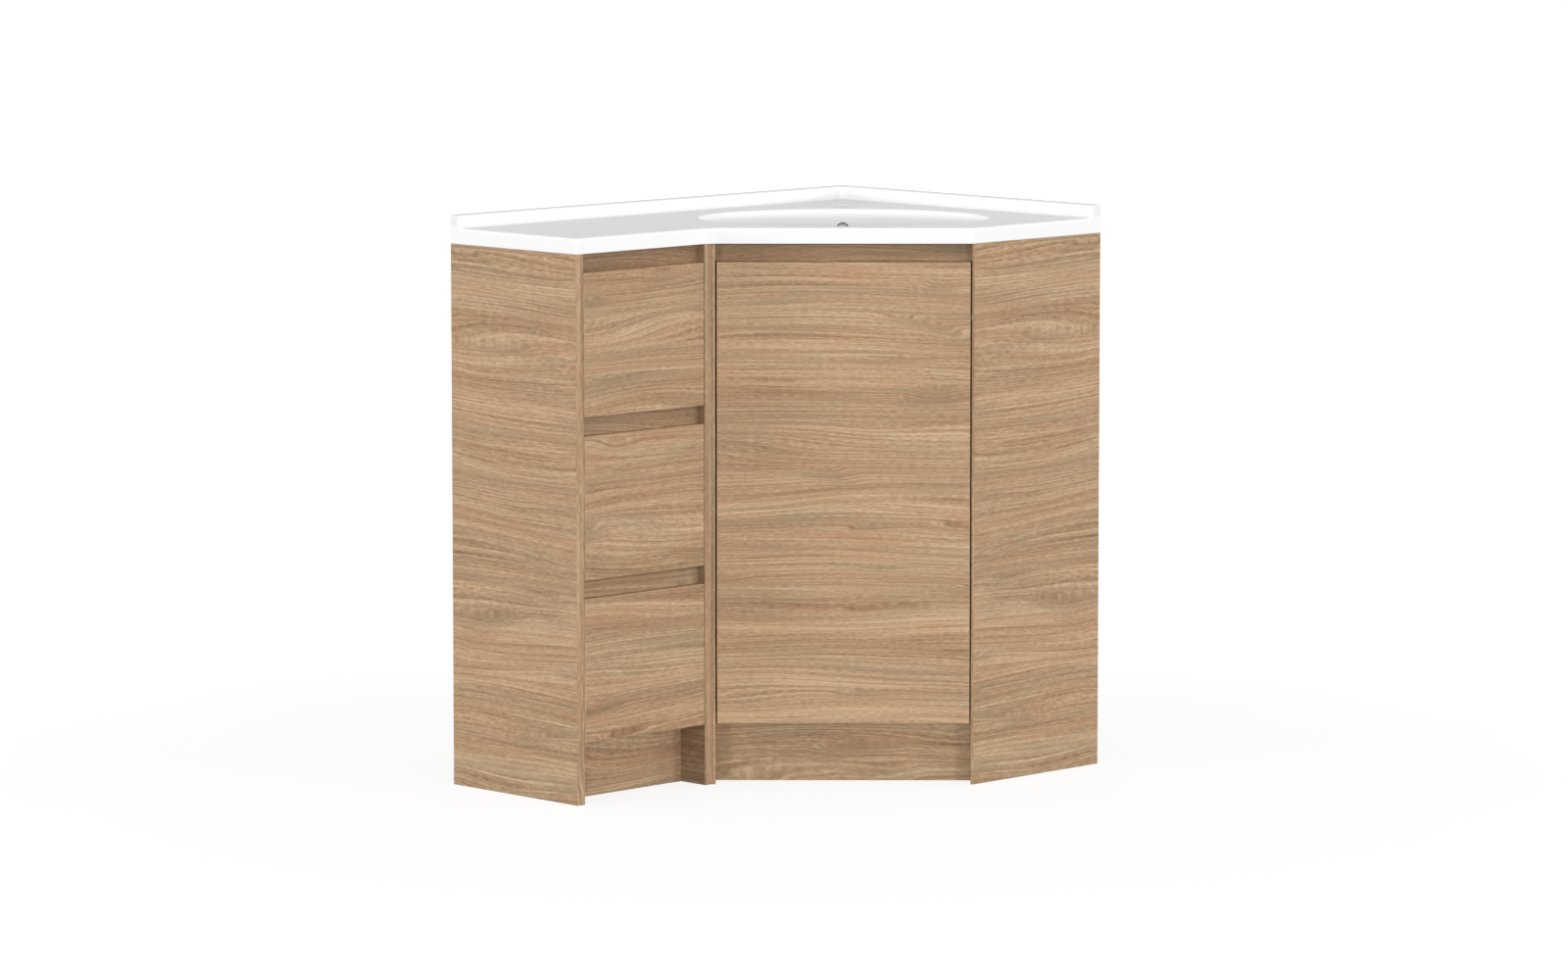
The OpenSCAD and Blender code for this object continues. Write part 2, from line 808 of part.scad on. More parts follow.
// A cranked arm: from the pin out of the cup, back past the door's corner, then along the
// mounting plate on the side panel.
module hinge_arms() {
    seat = plate_t + arm_t / 2;
    face = inner_half - door_half;
    bend_x = arm_leg_y - face + seat * root2;
    path = [
        [pin_x, -pin_y], [pin_x + arm_reach, -pin_y - arm_drop],
        [pin_x + arm_reach, arm_leg_y], [bend_x, arm_leg_y],
        [bend_x - arm_end / root2, arm_leg_y - arm_end / root2]
    ];
    color("silver") difference() {
        at_hinges() translate([0, 0, -arm_w / 2]) linear_extrude(arm_w) {
            bent_bar(path, arm_t);
            translate(path[0]) circle(r = eye_r);
        }
        at_pins(pin_d / 2 + running_gap, arm_w + 2 * cut_past);
    }
}

// Mounting plates on the right end panel's inner face, each with two screws.
module hinge_plates() {
    face = corner_w - board_t;
    x1 = side_d + (nose_w - nose_cut) / root2 - plate_start;
    color("silver") in_room() for (z = hinge_z) {
        block([x1 - plate_l, face - plate_t, z - plate_h / 2], [x1, face, z + plate_h / 2]);
        for (s = [-1, 1])
            translate([x1 - plate_l / 2, face - plate_t, z + s * plate_screw_pitch / 2])
            rotate([90, 0, 0]) screw_head();
    }
}

// Two blocks on the left panel that the closed door comes to rest against.
module door_stops() {
    y1 = -board_t - stop_gap;
    y0 = y1 - stop_l;
    x1 = door_half + door_reveal;
    color("#d8d4cc") at_door() for (z = hinge_z) translate([0, 0, z - stop_h / 2])
        linear_extrude(stop_h) polygon([
            [door_half - stop_lap, y0], [clear_half(y0), y0], [x1, -nose_cut],
            [x1, y1], [door_half - stop_lap, y1]
        ]);
}

// ---- Drawers ------------------------------------------------------------------------
// i counts the drawers from the top.

module drawer_front(i) {
    color("#b29275") in_room() difference() {
        translate([bank_in0 + drawer_reveal, front_back_y, front_z[i]])
            board(front_w, board_t, front_h, front_ease);
        bottom_slot(i);
    }
}

// The space of a drawer's bottom in the grooves round it.
module bottom_slot(i) {
    z = front_z[i] + box_lift + groove_z;
    p = groove_play;
    block([box_x0 + box_t - groove_d - p, box_y0 - 1, z - p],
        [box_x1 - box_t + groove_d + p, box_y1 + groove_d + p, z + bottom_t + p]);
}

module drawer_side(i, x) {
    z = front_z[i] + box_lift;
    color("#e8e4da") in_room() difference() {
        block([x, box_y0, z], [x + box_t, box_y1, z + box_h]);
        bottom_slot(i);
    }
}

module drawer_back(i) {
    z = front_z[i] + box_lift;
    color("#e8e4da") in_room()
        block([box_x0 + box_t, box_y0, z + groove_z + bottom_t + groove_play],
            [box_x1 - box_t, box_y0 + box_t, z + box_h]);
}

module drawer_bottom(i) {
    z = front_z[i] + box_lift + groove_z;
    color("#cfc8ba") in_room() block([box_x0 + box_t - groove_d, box_y0, z],
        [box_x1 - box_t + groove_d, box_y1 + groove_d, z + bottom_t]);
}

// Puts a runner piece, drawn with x away from the cabinet's side, on both sides of a drawer.
module both_sides(i) {
    z = front_z[i] + box_lift;
    color("white") in_room() {
        translate([bank_in0, 0, z]) children();
        translate([bank_in1, 0, z]) mirror([1, 0, 0]) children();
    }
}

module along_y(y0, y1) {
    translate([0, y1, 0]) rotate([90, 0, 0]) linear_extrude(y1 - y0) children();
}

// A round bar across the runner from x0 to x1.
module across_runner(y, z, r, x0, x1) {
    translate([x0, y, z]) rotate([0, 90, 0]) cylinder(r = r, h = x1 - x0);
}

// The track on the cabinet's side: a web, a floor with a lip, a roof over the rear roller
// and a stop in front of it, with the front roller's axle.
module runner_tracks(i) {
    head_x = roller_t0 + roller_w + roller_side;
    both_sides(i) {
        along_y(box_y0 - runner_end, box_y0 - runner_end + runner_l) {
            translate([0, track_z - steel_t]) square([steel_t, trap_z - track_z + 2 * steel_t]);
            translate([0, track_z - steel_t]) square([track_w, steel_t]);
            translate([track_w - track_lip_t, track_z - steel_t])
                square([track_lip_t, steel_t + track_lip_h]);
            translate([0, trap_z]) square([trap_w, steel_t]);
        }
        block([0, track_stop_y, track_z - steel_t],
            [track_w, track_stop_y + steel_t, rear_roller_z]);
        across_runner(front_roller_y, front_roller_z, shoulder_r, 0, roller_t0 - roller_side);
        across_runner(front_roller_y, front_roller_z, axle_d / 2, 0, head_x);
        across_runner(front_roller_y, front_roller_z, shoulder_r, head_x, head_x + axle_head_t);
    }
}

module roller(y, z) {
    difference() {
        across_runner(y, z, roller_r, roller_t0, roller_t0 + roller_w);
        across_runner(y, z, axle_d / 2 + running_gap, roller_t0 - cut_past,
            roller_t0 + roller_w + cut_past);
    }
}

module front_rollers(i) {
    both_sides(i) roller(front_roller_y, front_roller_z);
}

module rear_rollers(i) {
    both_sides(i) roller(rear_roller_y, rear_roller_z);
}

// The slide under a drawer's side: a sole, a web and a flange that rides on the front
// roller, with the rear roller's axle.
module drawer_slides(i) {
    x1 = runner_w;
    head_x = roller_t0 - roller_side;
    both_sides(i) {
        along_y(box_y0, box_y1 - slide_short) {
            translate([x1 - steel_t, -steel_t]) square([sole_w, steel_t]);
            translate([x1 - steel_t, -steel_t]) square([steel_t, flange_z + 2 * steel_t]);
            translate([flange_in, flange_z]) square([x1 - flange_in, steel_t]);
        }
        across_runner(rear_roller_y, rear_roller_z, axle_d / 2, head_x, x1 - steel_t);
        across_runner(rear_roller_y, rear_roller_z, shoulder_r, head_x - rear_head_t, head_x);
        across_runner(rear_roller_y, rear_roller_z, shoulder_r,
            roller_t0 + roller_w + roller_side, x1 - steel_t);
    }
}

left_end_panel();
drawer_right_panel();
corner_left_panel();
right_end_panel();
drawer_back_panel();
corner_back_long();
corner_back_short();
drawer_floor_panel();
corner_floor_panel();
drawer_toe_kick();
corner_toe_kick();
drawer_rail_top();
drawer_rail_middle();
drawer_rail_lower();
door_rail_top();
corner_shelf();
shelf_pins();
corner_post();
fixing_rail_long();
fixing_rail_short();
fixing_rail_drawers();
connector_bolts();
vanity_top();
overflow_ring();
top_brackets();
hinge_plates();
hinge_arms();
door_stops();
door_leaf();
hinge_cups();
hinge_pins();
runner_tracks(0);  // top_runner_tracks
front_rollers(0);  // top_front_rollers
drawer_front(0);  // top_drawer_front
drawer_side(0, box_x1 - box_t);  // top_drawer_left
drawer_side(0, box_x0);  // top_drawer_right
drawer_back(0);  // top_drawer_back
drawer_bottom(0);  // top_drawer_bottom
drawer_slides(0);  // top_drawer_slides
rear_rollers(0);  // top_rear_rollers
runner_tracks(1);  // middle_runner_tracks
front_rollers(1);  // middle_front_rollers
drawer_front(1);  // middle_drawer_front
drawer_side(1, box_x1 - box_t);  // middle_drawer_left
drawer_side(1, box_x0);  // middle_drawer_right
drawer_back(1);  // middle_drawer_back
drawer_bottom(1);  // middle_drawer_bottom
drawer_slides(1);  // middle_drawer_slides
rear_rollers(1);  // middle_rear_rollers
runner_tracks(2);  // lower_runner_tracks
front_rollers(2);  // lower_front_rollers
drawer_front(2);  // lower_drawer_front
drawer_side(2, box_x1 - box_t);  // lower_drawer_left
drawer_side(2, box_x0);  // lower_drawer_right
drawer_back(2);  // lower_drawer_back
drawer_bottom(2);  // lower_drawer_bottom
drawer_slides(2);  // lower_drawer_slides
rear_rollers(2);  // lower_rear_rollers
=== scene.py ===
# %% [markdown]
# # Dressing a corner vanity unit
# The unit fills a room corner: a cupboard behind one diagonal door, three drawers beside it,
# and a white moulded top with an oval basin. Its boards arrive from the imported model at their
# true size and are never moved. This notebook gives each of them its finish, makes a smooth
# moulded top and a trim ring for its overflow, and sets up the studio and the camera.

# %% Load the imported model
import math

import bmesh
import bpy
from mathutils import Matrix, Vector


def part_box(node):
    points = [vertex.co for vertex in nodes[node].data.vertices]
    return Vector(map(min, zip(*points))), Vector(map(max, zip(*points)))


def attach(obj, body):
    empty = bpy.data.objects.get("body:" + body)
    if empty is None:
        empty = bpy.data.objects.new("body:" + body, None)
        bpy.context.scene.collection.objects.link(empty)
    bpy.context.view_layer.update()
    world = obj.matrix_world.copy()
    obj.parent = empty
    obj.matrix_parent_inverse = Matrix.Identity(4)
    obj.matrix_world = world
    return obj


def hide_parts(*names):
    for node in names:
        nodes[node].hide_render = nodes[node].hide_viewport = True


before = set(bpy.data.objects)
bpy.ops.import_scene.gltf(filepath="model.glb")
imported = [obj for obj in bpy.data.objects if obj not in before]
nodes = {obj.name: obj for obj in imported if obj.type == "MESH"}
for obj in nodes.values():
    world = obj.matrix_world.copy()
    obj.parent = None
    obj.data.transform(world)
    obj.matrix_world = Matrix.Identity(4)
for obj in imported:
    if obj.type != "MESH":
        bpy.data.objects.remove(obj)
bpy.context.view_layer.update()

# %% [markdown]
# ## Places
# The model's origin is the middle of its footprint on the floor. The walls meet at the
# highest x and y, so lengths along them are easiest to give from that corner. Two directions
# are used again and again: along the diagonal door, and straight out of the corner through it.

# %% Room places and directions
LONG_WALL = 0.900
SHORT_WALL = 0.600
ROOM_CORNER = Vector(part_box("vanity_top")[1])
ALONG_X = Vector((1, 0, 0))
ALONG_Y = Vector((0, 1, 0))
UP = Vector((0, 0, 1))
MIDDLE = Vector((0, 0, 0))
ALONG_DOOR = Vector((-1, 1, 0)).normalized()
OUT_OF_CORNER = Vector((-1, -1, 0)).normalized()


def room(along_long_wall, along_short_wall, height):
    """A place given by its distances from the room corner and its height."""
    return Vector((ROOM_CORNER.x - along_long_wall, ROOM_CORNER.y - along_short_wall, height))


# %% [markdown]
# ## Writing shaders as sums
# A material is a graph of nodes, and a graph typed node by node is hard to read. This class
# wraps one socket. Python's operators on it add Math nodes, so a formula reads as a formula,
# and any other node comes from its one method, node, or from a short name for a common one.

# %% The Wire class
class Wire:
    """One output socket of a material's node tree."""

    def __init__(self, tree, socket=None):
        self.tree = tree
        self.socket = socket

    def node(self, kind, settings, sockets, out=0):
        """Adds a node, with its settings first and then the values or links of its sockets."""
        node = self.tree.nodes.new(kind)
        for name, value in settings.items():
            if name == "stops":
                self.set_stops(node.color_ramp, value)
            else:
                setattr(node, name, value)
        for key, value in sockets.items():
            if isinstance(value, Wire):
                self.tree.links.new(value.socket, node.inputs[key])
            else:
                node.inputs[key].default_value = value
        return Wire(self.tree, node.outputs[out] if node.outputs else None)

    @staticmethod
    def set_stops(ramp, stops):
        while len(ramp.elements) < len(stops):
            ramp.elements.new(0.5)
        for element, (position, colour) in zip(ramp.elements, stops):
            element.position = position
            element.color = colour

    def maths(self, operation, *values):
        return self.node("ShaderNodeMath", {"operation": operation}, dict(enumerate(values)))

    def __add__(self, other):
        return self.maths("ADD", self, other)

    def __sub__(self, other):
        return self.maths("SUBTRACT", self, other)

    def __rsub__(self, other):
        return self.maths("SUBTRACT", other, self)

    def __mul__(self, other):
        return self.maths("MULTIPLY", self, other)

    def __truediv__(self, other):
        return self.maths("DIVIDE", self, other)

    def __gt__(self, other):
        return self.maths("GREATER_THAN", self, other)

    __radd__ = __add__
    __rmul__ = __mul__

    def size(self):
        return self.maths("ABSOLUTE", self)

    def coordinates(self, kind="Object"):
        """Where on the piece a point lies, or with "Normal" which way it faces."""
        return self.node("ShaderNodeTexCoord", {}, {}, kind)

    def ray(self, kind):
        """1 for light rays of one kind, and 0 for the others."""
        return self.node("ShaderNodeLightPath", {}, {}, kind)

    def dot(self, direction):
        """How far this vector reaches along a fixed direction."""
        return self.node(
            "ShaderNodeVectorMath", {"operation": "DOT_PRODUCT"}, {0: self, 1: direction}, "Value"
        )

    def ramp(self, low, high):
        """0 below low, 1 above high, and a smooth step between them."""
        return self.node(
            "ShaderNodeMapRange",
            {"interpolation_type": "SMOOTHSTEP"},
            {"Value": self, "From Min": low, "From Max": high},
        )

    def blend(self, first, second):
        """Mixes two colours, with this value as the second one's share."""
        return self.node("ShaderNodeMix", {"data_type": "RGBA"}, {0: self, 6: first, 7: second}, 2)

    def through(self, glass):
        """This colour as seen through a tinted glass, channel by channel."""
        settings = {"data_type": "RGBA", "blend_type": "MULTIPLY"}
        return self.node("ShaderNodeMix", settings, {0: 1.0, 6: self, 7: glass}, 2)


def grain(u, v, w, detail=2.0, roughness=0.5):
    """Smooth noise, one feature wide for each unit of u, v and w."""
    place = u.node("ShaderNodeCombineXYZ", {}, {"X": u, "Y": v, "Z": w})
    return u.node(
        "ShaderNodeTexNoise",
        {},
        {"Vector": place, "Scale": 1.0, "Detail": detail, "Roughness": roughness},
    )


# %% [markdown]
# ## Colours
# Blender works in linear light, while colours are usually named in sRGB, so one function
# turns the one into the other. The bare numbers in it are those of the sRGB standard.

# %% Colours from sRGB
def paint(red, green, blue):
    """A linear colour from sRGB values of 0 to 255."""

    def linear(value):
        share = value / 255
        return share / 12.92 if share <= 0.04045 else ((share + 0.055) / 1.055) ** 2.4

    return (linear(red), linear(green), linear(blue), 1.0)


BLACK = paint(0, 0, 0)


def start_finish(name):
    """An empty material and a wire to build it from."""
    material = bpy.data.materials.new(name)
    material.use_nodes = True
    material.node_tree.nodes.clear()
    return material, Wire(material.node_tree)


def end_finish(wire, sockets, height=None, bump_m=0.0):
    """Closes a material with a Principled shader, bumped by a height where there is one."""
    if height is not None:
        sockets["Normal"] = wire.node(
            "ShaderNodeBump", {}, {"Strength": 1.0, "Distance": bump_m, "Height": height}
        )
    shader = wire.node("ShaderNodeBsdfPrincipled", {}, sockets)
    wire.node("ShaderNodeOutputMaterial", {}, {"Surface": shader})


# %% [markdown]
# ## Oak laminate
# The boards are faced with a printed oak. Its figure is made the way a tree makes it: the
# distance from the heart wanders slowly along the board, and the growth lines are the
# contours of that distance, so where it turns back they close into arches, and round a small
# knot they close into an eye. Cool, warm, greener and redder patches tint it.
#
# Every layer of the figure is noise that is stretched along the grain. The table gives each
# one the length and width of its features in metres, its own place in depth, so that no two
# layers are alike, and the noise's detail and roughness.

# %% The oak figure
OAK_LAYERS = {
    "bend": (0.35, 0.06, 0.0, 1.0, 0.5),
    "swirl": (0.42, 0.080, 4.0, 0.5, 0.5),
    "knot": (0.17, 0.034, 6.0, 0.0, 0.5),
    "waver": (0.028, 0.008, 8.0, 2.0, 0.5),
    "broad": (1.2, 0.038, 10.0, 2.0, 0.5),
    "lines": (0.60, 0.0068, 12.0, 3.0, 0.65),
    "fine": (0.30, 0.0025, 16.0, 2.0, 0.6),
    "pores": (0.011, 0.0016, 18.0, 1.0, 0.5),
    "streak": (0.35, 0.0036, 20.0, 1.0, 0.5),
    "tint": (0.28, 0.022, 28.0, 2.0, 0.5),
    "narrow_blush": (0.20, 0.010, 32.0, 3.0, 0.7),
    "wide_blush": (0.40, 0.034, 34.0, 2.0, 0.5),
}
FIGURE_DEPTH = 0.5
FACE_FIGURE = 0.075
DOOR_FIGURE = 0.048
BEND_RISE = 0.007
KNOT_RISE = 0.010
WAVER_RISE = 0.0008
KNOT_FROM_TO = (0.63, 0.86)
STREAK_FROM_TO = (0.67, 0.77)
TINT_FROM_TO = (0.54, 0.74)
BLUSH_FROM_TO = (0.36, 0.64)
OAK_STOPS = (
    (0.06, paint(132, 99, 71)),
    (0.28, paint(160, 126, 96)),
    (0.46, paint(178, 145, 113)),
    (0.58, paint(190, 158, 125)),
    (0.74, paint(205, 175, 141)),
    (0.94, paint(218, 192, 158)),
)
OAK_MIDDLE_TONE = 0.54
OAK_TONE_SHARES = {"broad": 0.66, "lines": 0.40, "fine": 1.05, "pores": 0.66}
STREAK_DARKENS = 0.24
KNOT_DARKENS = 0.10
OAK_COOL = paint(160, 142, 112)
OAK_WARM = paint(184, 139, 104)
COOL_SHARE = 0.45
KNOT_COOL_SHARE = 0.30
WARM_SHARE = 0.40
OAK_GREENER = (0.958, 1.004, 1.014, 1.0)
OAK_REDDER = (1.042, 0.996, 0.986, 1.0)


def oak_layer(name, u, v, w):
    """One layer of the figure, at a place along, across and into the wood."""
    length, width, depth, detail, roughness = OAK_LAYERS[name]
    return grain(u / length, v / width, w + depth, detail, roughness)


def oak_figure(u, v, w, figure):
    """Colour and surface height of oak whose grain runs along u, all in metres."""
    w = w / FIGURE_DEPTH
    bend = v + BEND_RISE * (oak_layer("bend", u, v, w) - 0.5)
    swirl = oak_layer("swirl", u, bend, w) - 0.5
    knot = oak_layer("knot", u, bend, w).ramp(*KNOT_FROM_TO)
    waver = oak_layer("waver", u, bend, w) - 0.5
    heart = bend + figure * swirl + KNOT_RISE * knot + WAVER_RISE * waver
    growth = {name: oak_layer(name, u, heart, w) - 0.5 for name in OAK_TONE_SHARES}
    streak = oak_layer("streak", u, heart, w).ramp(*STREAK_FROM_TO)
    tone = OAK_MIDDLE_TONE
    for name, share in OAK_TONE_SHARES.items():
        tone = tone + share * growth[name]
    tone = tone - STREAK_DARKENS * streak - KNOT_DARKENS * knot
    colour = tone.node("ShaderNodeValToRGB", {"stops": OAK_STOPS}, {"Fac": tone})
    tint = oak_layer("tint", u, heart, w)
    cool = tint.ramp(*TINT_FROM_TO) * COOL_SHARE + knot * KNOT_COOL_SHARE
    colour = cool.blend(colour, OAK_COOL)
    colour = ((1 - tint).ramp(*TINT_FROM_TO) * WARM_SHARE).blend(colour, OAK_WARM)
    blush = 0.5 * oak_layer("narrow_blush", u, heart, w)
    blush = blush + 0.5 * oak_layer("wide_blush", u, heart, w)
    glass = blush.ramp(*BLUSH_FROM_TO).blend(OAK_GREENER, OAK_REDDER)
    return colour.through(glass), growth["fine"] + growth["pores"]


# %% [markdown]
# ## Oak on a board
# A board's faces show the figure, and its narrow edges carry a plain strip, whose grain runs
# along the edge. Which of them a point lies on is told by the way it faces. Each board may
# have its own lightness on its faces and on its edges, which is 1 for the plain oak. Less than 1
# darkens the colour, and on the faces that is painted shade.

# %% The oak finish
EDGE_TURN = 0.6
SIDE_PER_SHIFT = 0.37
DEPTH_PER_SHIFT = 0.21
OAK_ROUGH = 0.46
OAK_ROUGH_SPREAD = 0.08
OAK_SHINE = 0.4
OAK_BUMP = 0.00012


def oak(name, along, start, shift, flat=False, figure=FACE_FIGURE, painted_face_light=1.0, edge_light=1.0):
    """Oak laminate with its grain along a direction, measured from a starting place."""
    across = UP.cross(along) if flat else UP
    through = along.cross(across)
    material, wire = start_finish(name)
    place = wire.coordinates()
    facing = wire.coordinates("Normal")
    u = place.dot(along) - start.dot(along)
    v = place.dot(across)
    w = place.dot(through) - start.dot(through)
    on_end = facing.dot(along).size() > EDGE_TURN
    on_side = facing.dot(across).size() > EDGE_TURN
    on_edge = on_end + on_side
    run = u + on_end * (v - u) + shift
    side = v + on_edge * (w - v) + SIDE_PER_SHIFT * shift
    depth = w + DEPTH_PER_SHIFT * shift
    colour, height = oak_figure(run, side, depth, figure * (1 - on_edge))
    # Painted shade: the face's and the edges' lightness darken the oak's colour towards black.
    light = painted_face_light + on_edge * (edge_light - painted_face_light)
    sockets = {
        "Base Color": light.blend(BLACK, colour),
        "Roughness": OAK_ROUGH + OAK_ROUGH_SPREAD * height,
        "Specular IOR Level": OAK_SHINE,
    }
    end_finish(wire, sockets, height, OAK_BUMP)
    return material


# %% [markdown]
# ## Dress the boards
# A material goes on a board through its object's material slot. Each board takes the same
# oak from another place in the figure. Only the two end panels match: they are cut from one
# printed sheet, and each starts at its own wall, so one mirrors the other. Shade is painted
# into the oak of the rails behind the finger gaps and of the panel beside them, and a little
# into the drawer fronts and the toe kicks. The end panels and the divider's two panels give
# their edges a lightness of their own.

# %% Oak boards
def dress(name, material):
    """Puts a material on one of the model's nodes."""
    mesh_object = nodes[name]
    if not mesh_object.material_slots:
        mesh_object.data.materials.append(material)
    for slot in mesh_object.material_slots:
        slot.material = material


DRAWERS = ("top", "middle", "lower")
OAK_UPRIGHT = {
    "left_end_panel": ALONG_Y,
    "drawer_right_panel": ALONG_Y,
    "corner_left_panel": ALONG_Y,
    "right_end_panel": ALONG_X,
    "drawer_toe_kick": ALONG_X,
    "corner_toe_kick": ALONG_DOOR,
    "drawer_rail_top": ALONG_X,
    "drawer_rail_middle": ALONG_X,
    "drawer_rail_lower": ALONG_X,
    "door_rail_top": ALONG_DOOR,
    "door_leaf": ALONG_DOOR,
    **{f"{drawer}_drawer_front": ALONG_X for drawer in DRAWERS},
}
OAK_LEVEL = {
    "drawer_floor_panel": ALONG_X,
    "corner_floor_panel": ALONG_DOOR,
    "corner_shelf": ALONG_DOOR,
}
BOARD_SHIFT = 1.7
END_SHIFT = 72.46
END_FACES = {"left_end_panel": room(LONG_WALL, 0, 0), "right_end_panel": room(0, SHORT_WALL, 0)}
# Painted shade: the share of the plain oak's lightness left on each board's faces. It is deep on
# the rails behind the finger gaps and on the whole face of the panel beside them, and slight on
# the drawer fronts and the toe kicks.
FACE_PAINTED_LIGHT = {
    "_rail_top": 0.63,
    "_rail_middle": 0.70,
    "_rail_lower": 0.74,
    "_drawer_front": 0.94,
    "_toe_kick": 0.96,
    "drawer_right_panel": 0.56,
}
# These panels' edges take a lightness of their own. Every other board's edges take its face's
# painted shade.
EDGE_LIGHT = {
    "drawer_right_panel": 0.92,
    "corner_left_panel": 0.92,
    "left_end_panel": 1.0,
    "right_end_panel": 0.88,
}
for count, (name, along) in enumerate(OAK_UPRIGHT.items()):
    start, shift = MIDDLE, BOARD_SHIFT * count
    if name in END_FACES:
        start, shift = END_FACES[name], END_SHIFT
    # Each board takes the painted shade of the part in the table that its name holds, or none.
    painted_face_light = 1.0
    for part, painted_part_light in FACE_PAINTED_LIGHT.items():
        if part in name:
            painted_face_light = painted_part_light
    oak_here = oak(
        f"oak_{name}",
        along,
        start,
        shift,
        figure=DOOR_FIGURE if name == "door_leaf" else FACE_FIGURE,
        painted_face_light=painted_face_light,
        edge_light=EDGE_LIGHT.get(name, painted_face_light),
    )
    dress(name, oak_here)
for count, (name, along) in enumerate(OAK_LEVEL.items()):
    dress(name, oak(f"oak_{name}", along, MIDDLE, -BOARD_SHIFT * (count + 1), flat=True))
print("oak boards", len(OAK_UPRIGHT) + len(OAK_LEVEL))

# %% [markdown]
# ## The plainer finishes
# Inside the unit are hardboard, softwood, pale drawer boxes, coated steel, nickelled steel
# and nylon. Each gets the small unevenness that the real surface has. Names that end in _m
# are lengths in metres.

# %% Hardboard, softwood and drawer-box laminate
ROUGH_SPREAD = 0.1
BOARD_CLOUD = 0.07
BOARD_FROM_TO = (0.35, 0.65)
BOARD_BUMP = 0.00008
PINE_LINES = (0.6, 0.004, 0.006)
PINE_FIBRES = (0.05, 0.0008, 0.0008)
LINES_SHARE = 0.7
FIBRES_SHARE = 0.3
PINE_FROM_TO = (0.38, 0.66)
PINE_ROUGH = 0.6
PINE_BUMP = 0.0001
PINE_PALE = paint(214, 182, 138)
PINE_DARK = paint(184, 146, 100)
HARDBOARD_BROWN = (paint(150, 122, 94), paint(126, 100, 76))
LAMINATE_WHITE = (paint(231, 228, 220), paint(222, 218, 209))


def cloud(place, size, detail=2.0):
    """Smooth noise whose features are a given size across, in metres."""
    return place.node(
        "ShaderNodeTexNoise", {}, {"Vector": place, "Scale": 1 / size, "Detail": detail}
    )


def uneven(rough, spread, noise):
    """A roughness that a noise varies to both sides."""
    return rough + spread * (noise - 0.5)


def fibreboard(name, pale, dark, speck_m, rough):
    """A pressed or printed board with a fine, even fleck."""
    material, wire = start_finish(name)
    place = wire.coordinates()
    speck = cloud(place, speck_m)
    share = (0.5 * cloud(place, BOARD_CLOUD, detail=3.0) + 0.5 * speck).ramp(*BOARD_FROM_TO)
    sockets = {
        "Base Color": share.blend(dark, pale),
        "Roughness": uneven(rough, ROUGH_SPREAD, speck),
    }
    end_finish(wire, sockets, speck, BOARD_BUMP)
    return material


def softwood(name, along, side):
    """Planed pine: straight growth lines that run along the piece."""
    material, wire = start_finish(name)
    place = wire.coordinates()
    ways = (along, side, along.cross(side))
    lines = grain(*(place.dot(way) / size for way, size in zip(ways, PINE_LINES)))
    fibres = grain(*(place.dot(way) / size for way, size in zip(ways, PINE_FIBRES)), detail=1.0)
    share = (LINES_SHARE * lines + FIBRES_SHARE * fibres).ramp(*PINE_FROM_TO)
    sockets = {
        "Base Color": share.blend(PINE_PALE, PINE_DARK),
        "Roughness": uneven(PINE_ROUGH, ROUGH_SPREAD, fibres),
    }
    end_finish(wire, sockets, fibres, PINE_BUMP)
    return material


hardboard = fibreboard("hardboard", *HARDBOARD_BROWN, speck_m=0.0012, rough=0.62)
box_laminate = fibreboard("box_laminate", *LAMINATE_WHITE, speck_m=0.0009, rough=0.5)
for name in ("drawer_back_panel", "corner_back_long", "corner_back_short"):
    dress(name, hardboard)
for drawer in DRAWERS:
    dress(f"{drawer}_drawer_bottom", hardboard)
    for piece in ("left", "right", "back"):
        dress(f"{drawer}_drawer_{piece}", box_laminate)
dress("corner_post", softwood("pine_upright", UP, ALONG_X))
dress("fixing_rail_short", softwood("pine_short_wall", ALONG_Y, UP))
pine_long_wall = softwood("pine_long_wall", ALONG_X, UP)
for name in ("fixing_rail_long", "fixing_rail_drawers"):
    dress(name, pine_long_wall)
print("materials", len(bpy.data.materials))

# %% Metals, coatings and plastics
METAL_BUMP = 0.00001
COATING_PATCH = 0.17
COATING_FROM_TO = (0.3, 0.7)
COATING_ROUGH_SPREAD = 0.06
CHROME_GREY = paint(118, 119, 122)
NICKEL_GREY = paint(196, 194, 188)
WHITE_STEEL = (paint(233, 233, 230), paint(226, 226, 223))
WHITE_NYLON = (paint(226, 223, 214), paint(216, 212, 202))
STOP_GREY = (paint(96, 92, 86), paint(88, 84, 78))
NICKELLED = (
    "shelf_pins",
    "connector_bolts",
    "top_brackets",
    "hinge_plates",
    "hinge_arms",
    "hinge_cups",
    "hinge_pins",
)


def metal(name, colour, rough, brushed_m):
    """A bare or plated metal with a faint, fine unevenness in its polish."""
    material, wire = start_finish(name)
    wear = cloud(wire.coordinates(), brushed_m, detail=3.0)
    sockets = {
        "Base Color": colour,
        "Metallic": 1.0,
        "Roughness": uneven(rough, ROUGH_SPREAD, wear),
    }
    end_finish(wire, sockets, wear, METAL_BUMP)
    return material


def coating(name, pale, dark, rough, peel_m, bump_m):
    """Paint or plastic: nearly even, with a slight ripple."""
    material, wire = start_finish(name)
    place = wire.coordinates()
    patch = cloud(place, COATING_PATCH)
    sockets = {
        "Base Color": patch.ramp(*COATING_FROM_TO).blend(dark, pale),
        "Roughness": uneven(rough, COATING_ROUGH_SPREAD, patch),
    }
    end_finish(wire, sockets, cloud(place, peel_m), bump_m)
    return material


